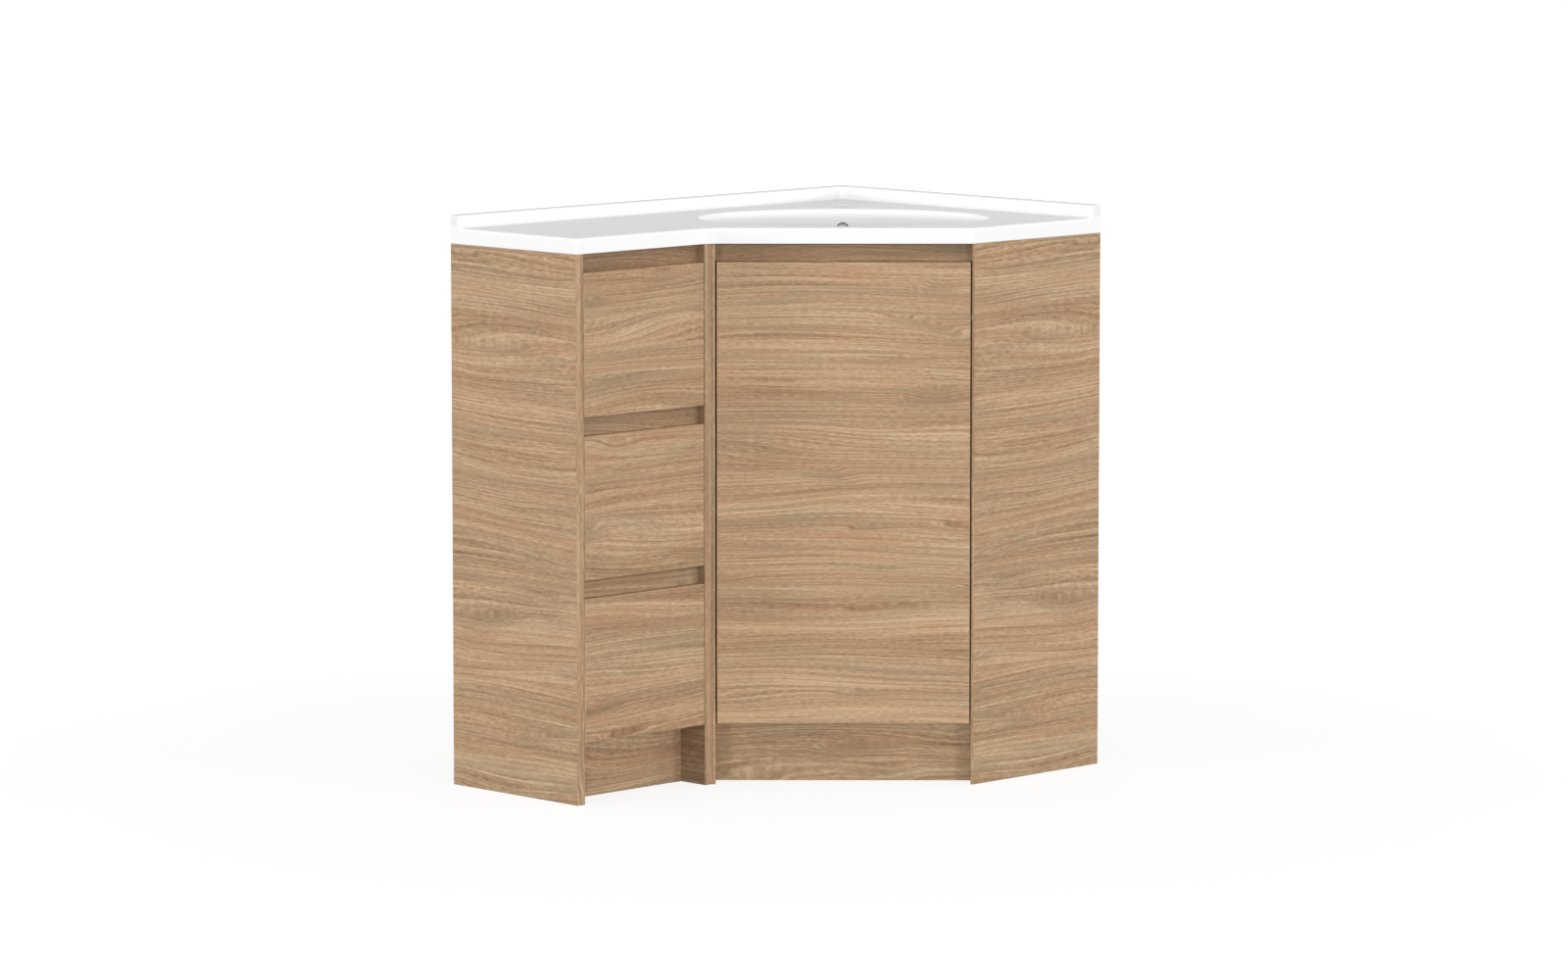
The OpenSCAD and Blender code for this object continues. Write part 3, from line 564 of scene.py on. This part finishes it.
chrome = metal("chrome", CHROME_GREY, rough=0.12, brushed_m=0.01)
nickel = metal("nickel", NICKEL_GREY, rough=0.30, brushed_m=0.002)
coated_steel = coating("coated_steel", *WHITE_STEEL, rough=0.38, peel_m=0.0015, bump_m=0.00003)
nylon = coating("nylon", *WHITE_NYLON, rough=0.45, peel_m=0.003, bump_m=0.00002)
stop_plastic = coating("stop_plastic", *STOP_GREY, rough=0.5, peel_m=0.002, bump_m=0.00003)
for name in NICKELLED:
    dress(name, nickel)
dress("door_stops", stop_plastic)
for drawer in DRAWERS:
    dress(f"{drawer}_runner_tracks", coated_steel)
    dress(f"{drawer}_drawer_slides", coated_steel)
    dress(f"{drawer}_front_rollers", nylon)
    dress(f"{drawer}_rear_rollers", nylon)
print("materials", len(bpy.data.materials))

# %% [markdown]
# ## The moulded top
# The real top is cast in one piece, so every edge on it is soft and its basin has no facets.
# The slab and the upstands grow out of one outline by extruding and bevelling. The bowl is a
# stack of oval rings, which is joined on below and then cut away inside by boolean modifiers,
# as a mould's core leaves its hollow. Weighted normals then shade the broad flats as flat.

# %% Sizes of the top
SLAB_BOTTOM = 0.886
DECK = 0.912
SIDE_DEPTH = 0.300
DRAWER_SLAB_DEPTH = 0.298
SLAB_OVERHANG = 0.0032
DIAGONAL = SHORT_WALL + SIDE_DEPTH + SLAB_OVERHANG * math.sqrt(2)
UPSTAND_HEIGHT = ROOM_CORNER.z - DECK
UPSTAND_THICK = 0.018
COVE_RADIUS = 0.012
FREE_EDGE_RADIUS = 0.0045
UNDER_EDGE_RADIUS = 0.0015
CORNER_RADII = {
    (LONG_WALL, DRAWER_SLAB_DEPTH): 0.006,
    (DIAGONAL - DRAWER_SLAB_DEPTH, DRAWER_SLAB_DEPTH): 0.020,
    (DIAGONAL - SHORT_WALL, SHORT_WALL): 0.008,
}
EDGE_STEPS = 6
UNDER_EDGE_STEPS = 3

# %% Mesh helpers
TOUCHING = 1e-6


def finish_mesh(bm, name):
    """Turns a bmesh into an object in the scene."""
    bmesh.ops.recalc_face_normals(bm, faces=bm.faces)
    mesh = bpy.data.meshes.new(name)
    bm.to_mesh(mesh)
    bm.free()
    mesh_object = bpy.data.objects.new(name, mesh)
    bpy.context.scene.collection.objects.link(mesh_object)
    return mesh_object


def round_edges(bm, edges, radius, steps=EDGE_STEPS):
    """Rounds edges with a bevel of a given radius."""
    bmesh.ops.bevel(
        bm, geom=edges, offset=radius, segments=steps, profile=0.5, affect="EDGES", material=-1
    )


def extrude_up(bm, faces, height):
    """Extrudes faces straight up. The faces themselves stay where they are."""
    grown = bmesh.ops.extrude_face_region(bm, geom=faces)["geom"]
    moved = [item for item in grown if isinstance(item, bmesh.types.BMVert)]
    bmesh.ops.translate(bm, vec=UP * height, verts=moved)


def middle(edge):
    return (edge.verts[0].co + edge.verts[1].co) / 2


def is_upright(edge):
    one, two = (vert.co for vert in edge.verts)
    return (one - two).to_2d().length < TOUCHING


# %% The slab with its upstands
SHARP = math.radians(30)
FACES_UP = 0.9
AT_CORNER = 1e-5
ON_PLANE = 1e-4
UPSTAND_FACES = (
    (room(UPSTAND_THICK, 0, 0), ALONG_X),
    (room(0, UPSTAND_THICK, 0), ALONG_Y),
)


def off_the_walls(place):
    return ROOM_CORNER.x - place.x > ON_PLANE and ROOM_CORNER.y - place.y > ON_PLANE


def free_edges(bm, wanted):
    """Edges off the walls whose turn and height pass a test. A hollow edge's turn is negative."""
    return [
        edge
        for edge in bm.edges
        if edge.is_manifold
        and off_the_walls(middle(edge))
        and wanted(edge.calc_face_angle_signed(), middle(edge).z)
    ]


bm = bmesh.new()
outline = [(0, 0), (LONG_WALL, 0), *CORNER_RADII, (0, SHORT_WALL)]
footprint = bm.faces.new([bm.verts.new(room(x, y, SLAB_BOTTOM)) for x, y in outline])
extrude_up(bm, [footprint], DECK - SLAB_BOTTOM)
bmesh.ops.recalc_face_normals(bm, faces=bm.faces)
for (x, y), radius in CORNER_RADII.items():
    spot = room(x, y, 0).to_2d()
    uprights = [edge for edge in bm.edges if is_upright(edge)]
    corner = [edge for edge in uprights if (middle(edge).to_2d() - spot).length < AT_CORNER]
    round_edges(bm, corner, radius)
for spot, across in UPSTAND_FACES:
    everything = bm.verts[:] + bm.edges[:] + bm.faces[:]
    bmesh.ops.bisect_plane(bm, geom=everything, plane_co=spot, plane_no=across)
wall_strips = []
for face in bm.faces:
    spot = face.calc_center_median()
    near_wall = min(ROOM_CORNER.x - spot.x, ROOM_CORNER.y - spot.y) < UPSTAND_THICK
    if face.normal.z > FACES_UP and near_wall:
        wall_strips.append(face)
extrude_up(bm, wall_strips, UPSTAND_HEIGHT)
bmesh.ops.delete(bm, geom=wall_strips, context="FACES_ONLY")
bmesh.ops.remove_doubles(bm, verts=bm.verts, dist=TOUCHING)
bmesh.ops.recalc_face_normals(bm, faces=bm.faces)
hollows = free_edges(bm, lambda turn, height: turn < -SHARP and height > DECK - ON_PLANE)
round_edges(bm, hollows, COVE_RADIUS)
ridges = free_edges(bm, lambda turn, height: turn > SHARP and height > DECK - ON_PLANE)
round_edges(bm, ridges, FREE_EDGE_RADIUS)
rims = free_edges(bm, lambda turn, height: turn > SHARP and height < SLAB_BOTTOM + ON_PLANE)
round_edges(bm, rims, UNDER_EDGE_RADIUS, UNDER_EDGE_STEPS)
print("slab", len(bm.faces), "faces; coves", len(hollows), "ridges", len(ridges))
top = finish_mesh(bm, "moulded_top")

# %% [markdown]
# ## The basin
# Its rim is an oval, and its section is a lip with a constant radius that runs into a
# quarter of an ellipse. A scaled spin would stretch the lip at the oval's ends, so each ring
# is its own circle, scaled to its own two half lengths, and the rings are bridged.

# %% Sizes of the basin
BASIN_LENGTH = 0.486
BASIN_WIDTH = 0.362
BASIN_FROM_CORNER = 0.427
BASIN_DEPTH = 0.142
BASIN_WALL = 0.008
LIP_RADIUS = 0.006
LIP_TURN = math.radians(78)
BOWL_TURN = math.radians(84)
LIP_STEPS = 10
BOWL_STEPS = 22
RING_SIDES = 112
BAR_SIDES = 64
WASTE_RADIUS = 0.0225
WASTE_BOSS_RADIUS = 0.0325
WASTE_BOSS_HEIGHT = 0.010
WASTE_DRILL_PAST = 0.01
WASTE_DRILL_LENGTH = 0.06
TAP_FROM_CORNER = 0.193
TAP_RADIUS = 0.0175
TAP_DRILL_DOWN = 0.05
TAP_DRILL_LENGTH = 0.1
OVERFLOW_DROP = 0.0328
OVERFLOW_RADIUS = 0.0085
OVERFLOW_RECESS = 0.007
OVERFLOW_DRILL_LENGTH = 0.015
CHANNEL_RADIUS = 0.014
CHANNEL_DEPTH = 0.018
CHANNEL_LENGTH = 0.014
LIP_IN = LIP_RADIUS * math.sin(LIP_TURN)
LIP_DOWN = LIP_RADIUS * (1 - math.cos(LIP_TURN))
BOWL_HALF_LENGTH = BASIN_LENGTH / 2 - LIP_IN
BOWL_HALF_WIDTH = BASIN_WIDTH / 2 - LIP_IN
BOWL_DEPTH = BASIN_DEPTH - LIP_DOWN


def from_corner(distance, height):
    """Coordinates over the corner's diagonal: x along the door, y out of the corner."""
    turn = Matrix((ALONG_DOOR, OUT_OF_CORNER, UP)).transposed().to_4x4()
    middle_of_deck = room(0, 0, height) + OUT_OF_CORNER * distance
    return Matrix.Translation(middle_of_deck) @ turn


# %% Rings into solids
def ring_stack(name, rings, matrix, sides=RING_SIDES):
    """A closed solid through oval rings, each given as half length, half width and height."""
    bm = bmesh.new()
    for half_length, half_width, height in rings:
        ring = bmesh.ops.create_circle(bm, segments=sides, radius=1.0)["verts"]
        bmesh.ops.scale(bm, vec=(half_length, half_width, 1.0), verts=ring)
        bmesh.ops.translate(bm, vec=(0, 0, height), verts=ring)
    bmesh.ops.bridge_loops(bm, edges=bm.edges)
    bmesh.ops.holes_fill(bm, edges=bm.edges, sides=sides)
    bmesh.ops.transform(bm, matrix=matrix, verts=bm.verts)
    return finish_mesh(bm, name)


def round_bar(name, radius, bottom, height, matrix):
    """A plain round bar, as a ring stack."""
    rings = [(radius, radius, bottom), (radius, radius, bottom + height)]
    return ring_stack(name, rings, matrix, BAR_SIDES)


def carve(piece, tool, operation):
    """Joins or cuts a piece with a tool, which is then thrown away."""
    modifier = piece.modifiers.new(operation.title(), "BOOLEAN")
    modifier.operation = operation
    modifier.solver = "EXACT"
    modifier.object = tool
    graph = bpy.context.evaluated_depsgraph_get()
    carved = bpy.data.meshes.new_from_object(piece.evaluated_get(graph))
    piece.modifiers.clear()
    piece.data = carved
    bpy.data.objects.remove(tool, do_unlink=True)


# %% The bowl's hollow and its shell
basin = from_corner(BASIN_FROM_CORNER, DECK)
lip = []
for step in range(1, LIP_STEPS + 1):
    turn = LIP_TURN * step / LIP_STEPS
    lip.append((LIP_RADIUS * math.sin(turn), LIP_RADIUS * (1 - math.cos(turn))))
bowl = []
for step in range(1, BOWL_STEPS + 1):
    turn = BOWL_TURN * step / BOWL_STEPS
    bowl.append((math.cos(turn), math.sin(turn)))
above = (-lip[0][0], -lip[0][1])
hollow_rings = [
    (BASIN_LENGTH / 2 - inset, BASIN_WIDTH / 2 - inset, -drop) for inset, drop in [above, *lip]
]
shell_rings = [(BOWL_HALF_LENGTH + BASIN_WALL, BOWL_HALF_WIDTH + BASIN_WALL, -LIP_DOWN)]
for reach, drop in bowl:
    length, width = BOWL_HALF_LENGTH * reach, BOWL_HALF_WIDTH * reach
    hollow_rings.append((length, width, -LIP_DOWN - BOWL_DEPTH * drop))
    below = -LIP_DOWN - (BOWL_DEPTH + BASIN_WALL) * drop
    shell_rings.append((length + BASIN_WALL, width + BASIN_WALL, below))

# %% [markdown]
# ## Join and cut
# The shell, the waste's boss and the overflow's channel are joined to the slab first. Then the
# hollow and the holes are cut out of the whole, so no wall is left inside them. The overflow
# leans with the bowl's wall, and it is a recess with a closed end.

# %% The shell, the hollow and the holes
boss_bottom = -BASIN_DEPTH - BASIN_WALL - WASTE_BOSS_HEIGHT
boss_height = BASIN_WALL + WASTE_BOSS_HEIGHT
overflow_turn = math.asin((OVERFLOW_DROP - LIP_DOWN) / BOWL_DEPTH)
overflow_spot = Vector((0, -BOWL_HALF_WIDTH * math.cos(overflow_turn), -OVERFLOW_DROP))
overflow_lean = math.atan2(
    BOWL_HALF_WIDTH * math.sin(overflow_turn), BOWL_DEPTH * math.cos(overflow_turn)
)
overflow_place = (
    basin
    @ Matrix.Translation(overflow_spot)
    @ Matrix.Rotation(overflow_lean - math.pi / 2, 4, "X")
)
tap_place = from_corner(TAP_FROM_CORNER, DECK)
drill_bottom = boss_bottom - WASTE_DRILL_PAST
JOINED_BARS = (
    ("waste_boss", WASTE_BOSS_RADIUS, boss_bottom, boss_height, basin),
    ("overflow_channel", CHANNEL_RADIUS, -CHANNEL_DEPTH, CHANNEL_LENGTH, overflow_place),
)
DRILLS = (
    ("waste_drill", WASTE_RADIUS, drill_bottom, WASTE_DRILL_LENGTH, basin),
    ("tap_drill", TAP_RADIUS, -TAP_DRILL_DOWN, TAP_DRILL_LENGTH, tap_place),
    ("overflow_drill", OVERFLOW_RADIUS, -OVERFLOW_RECESS, OVERFLOW_DRILL_LENGTH, overflow_place),
)
carve(top, ring_stack("bowl_shell", shell_rings, basin), "UNION")
for bar in JOINED_BARS:
    carve(top, round_bar(*bar), "UNION")
carve(top, ring_stack("bowl_hollow", hollow_rings, basin), "DIFFERENCE")
for drill in DRILLS:
    carve(top, round_bar(*drill), "DIFFERENCE")
print("moulded top", len(top.data.polygons), "faces")

# %% [markdown]
# ## Gel coat
# The top's white is one glossy coat. Shade is painted into it: the coat is a little greyer
# deep in the bowl and in the tap hole, and on the upstands too.

# %% The gel coat
GEL_WHITE = paint(252, 252, 252)
# Painted shade: the coat greys towards this colour with depth in the bowl and in the tap hole, and
# part of the way on the upstands.
GEL_SHADE = paint(224, 224, 224)
BOWL_SHADE_FROM_TO = (0.001, 0.0177)
UPSTAND_FROM_TO = (0.001, 0.005)
UPSTAND_SHADE = 0.36
TAP_SHADE_BELOW = 0.0006
TAP_ZONE = 1.1 * TAP_RADIUS
GEL_ROUGH = 0.14
GEL_ROUGH_SPREAD = 0.05
GEL_SHINE = 0.001


def gloss_white(name):
    """White gel coat with painted shade, greyer with depth in the bowl, in the tap hole and on the
    upstands.
    """
    material, wire = start_finish(name)
    place = wire.coordinates()
    depth = DECK - place.dot(UP)
    centre = basin.translation
    aside = place.dot(ALONG_DOOR) - centre.dot(ALONG_DOOR)
    across = aside / (BASIN_LENGTH / 2)
    out = (place.dot(OUT_OF_CORNER) - centre.dot(OUT_OF_CORNER)) / (BASIN_WIDTH / 2)
    in_bowl = 1 - (across * across + out * out > 1)
    tap_away = place.dot(OUT_OF_CORNER) - tap_place.translation.dot(OUT_OF_CORNER)
    by_the_tap = (1 - (aside.size() > TAP_ZONE)) * (1 - (tap_away.size() > TAP_ZONE))
    tap_hole_shade = (depth > TAP_SHADE_BELOW) * by_the_tap
    painted_upstand_shade = UPSTAND_SHADE * (0 - depth).ramp(*UPSTAND_FROM_TO)
    # The painted shade's share: in the bowl, in the tap hole and on the upstands.
    grey = in_bowl * depth.ramp(*BOWL_SHADE_FROM_TO) + tap_hole_shade + painted_upstand_shade
    sockets = {
        "Base Color": grey.blend(GEL_WHITE, GEL_SHADE),
        "Roughness": uneven(GEL_ROUGH, GEL_ROUGH_SPREAD, cloud(place, COATING_PATCH)),
        "Specular IOR Level": GEL_SHINE,
    }
    end_finish(wire, sockets)
    return material


# %% Shade the top and put it in the model's place
SMOOTH_BELOW = math.radians(38)
gel_coat = gloss_white("gel_coat")
top.data.shade_smooth()
top.data.set_sharp_from_angle(angle=SMOOTH_BELOW)
shading = top.modifiers.new("Weighted normals", "WEIGHTED_NORMAL")
shading.keep_sharp = True
top.data.materials.clear()
top.data.materials.append(gel_coat)
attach(top, "carcass")
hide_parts("vanity_top")

# %% [markdown]
# ## The overflow's trim
# A thin bright ring lines the overflow hole, pressed halfway into the bowl's wall. A small
# circle stands beside the hole's axis and is spun once round it, which keeps the ring's
# section round, and the spin merges its last step with its first.

# %% The trim ring
TRIM_RADIUS = 0.0094
TRIM_THICK = 0.0011
TRIM_STAND = 0.0005
TRIM_SIDES = 16
TRIM_STEPS = 64
bm = bmesh.new()
upright = Matrix.Translation((TRIM_RADIUS, 0, TRIM_STAND)) @ Matrix.Rotation(math.pi / 2, 4, "X")
bmesh.ops.create_circle(bm, segments=TRIM_SIDES, radius=TRIM_THICK, matrix=upright)
bmesh.ops.spin(
    bm,
    geom=bm.verts[:] + bm.edges[:],
    axis=(0, 0, 1),
    cent=(0, 0, 0),
    angle=2 * math.pi,
    steps=TRIM_STEPS,
    use_merge=True,
)
bmesh.ops.transform(bm, matrix=overflow_place, verts=bm.verts)
trim = finish_mesh(bm, "overflow_trim")
trim.data.shade_smooth()
trim.data.materials.append(chrome)
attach(trim, "carcass")
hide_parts("overflow_ring")
print("overflow trim", len(trim.data.polygons), "faces")

# %% [markdown]
# ## The studio
# An even grey sky lights the unit from all round. A fan of soft, low suns stands round the
# camera's side of it and lights every upright face alike, and more than the level faces.
# The camera sees the sky as white, and so do mirrors and glass. The floor is a pale sheet
# that shows as white too, apart from the unit's own soft shadow on it.

# %% Sky and suns
SKY_LIGHT = 0.535
SUN_FAN = (-90, -60, -30, 0, 30, 60, 90)
SUN_STRENGTH = 0.545
SUN_RAISED = math.radians(6)
SUN_SOFTNESS = math.radians(12)
SKY_WHITE = paint(255, 255, 255)
world = bpy.data.worlds.new("studio")
bpy.context.scene.world = world
world.use_nodes = True
world.node_tree.nodes.clear()
sky = Wire(world.node_tree)
seen = sky.ray("Is Camera Ray")
mirrored = sky.ray("Is Glossy Ray")
through_glass = sky.ray("Is Transmission Ray")
shown = (seen + mirrored + through_glass) > 0.5
light = SKY_LIGHT + shown * (1 - SKY_LIGHT)
background = sky.node("ShaderNodeBackground", {}, {"Color": SKY_WHITE, "Strength": light})
sky.node("ShaderNodeOutputWorld", {}, {"Surface": background})
for aside in SUN_FAN:
    sun_data = bpy.data.lights.new("sun", "SUN")
    sun_data.energy = SUN_STRENGTH
    sun_data.angle = SUN_SOFTNESS
    sun = bpy.data.objects.new("sun", sun_data)
    bpy.context.scene.collection.objects.link(sun)
    sun.visible_glossy = False
    turn = math.radians(aside)
    level = OUT_OF_CORNER * math.cos(turn) + ALONG_DOOR * math.sin(turn)
    towards_sun = level * math.cos(SUN_RAISED) + UP * math.sin(SUN_RAISED)
    sun.rotation_euler = towards_sun.to_track_quat("Z", "Y").to_euler()
print("suns", len(SUN_FAN))

# %% Floor
FLOOR_RADIUS = 14.0
FLOOR_SIDES = 96
FLOOR_GREY = paint(135, 135, 135)
GLOW_NEAR = 0.835
GLOW_GAIN = 0.165
GLOW_FROM_TO = (1.0, 3.0)
bm = bmesh.new()
bmesh.ops.create_circle(bm, cap_ends=True, segments=FLOOR_SIDES, radius=FLOOR_RADIUS)
floor = finish_mesh(bm, "studio_floor")
floor_sheet, wire = start_finish("floor_sheet")
place = wire.coordinates()
distance = wire.node("ShaderNodeVectorMath", {"operation": "LENGTH"}, {0: place}, "Value")
glow = wire.ray("Is Camera Ray") * (GLOW_NEAR + GLOW_GAIN * distance.ramp(*GLOW_FROM_TO))
paper = wire.node("ShaderNodeBsdfDiffuse", {}, {"Color": FLOOR_GREY})
glowing = wire.node("ShaderNodeEmission", {}, {"Color": SKY_WHITE, "Strength": glow})
surface = wire.node("ShaderNodeAddShader", {}, {0: paper, 1: glowing})
wire.node("ShaderNodeOutputMaterial", {}, {"Surface": surface})
floor.data.materials.append(floor_sheet)

# %% [markdown]
# ## The camera
# It stands about eleven metres away, a little above the unit, and looks straight into the
# corner. That far off, a long lens shows the unit with nearly parallel edges.

# %% Camera
VIEW_TURN = math.radians(45.267)
VIEW_TILT = math.radians(6.988)
VIEW_DISTANCE = 10.900
VIEW_HEIGHT = 0.4725
VIEW_SIDE = 0.009
LENS_PER_WIDTH = 4.2355
SENSOR_WIDTH = 36.0
VIEW_REACH = 100.0
level = Vector((math.cos(VIEW_TURN), math.sin(VIEW_TURN), 0))
forward = level * math.cos(VIEW_TILT) - UP * math.sin(VIEW_TILT)
to_the_right = level.cross(UP)
target = UP * VIEW_HEIGHT + to_the_right * VIEW_SIDE
camera_data = bpy.data.cameras.new("camera")
camera_data.sensor_width = SENSOR_WIDTH
camera_data.lens = LENS_PER_WIDTH * SENSOR_WIDTH
camera_data.clip_end = VIEW_REACH
camera = bpy.data.objects.new("camera", camera_data)
bpy.context.scene.collection.objects.link(camera)
camera.location = target - forward * VIEW_DISTANCE
camera.rotation_euler = forward.to_track_quat("-Z", "Y").to_euler()
bpy.context.scene.camera = camera
bpy.context.scene.view_settings.view_transform = "Standard"
print("camera at", [round(value, 3) for value in camera.location])
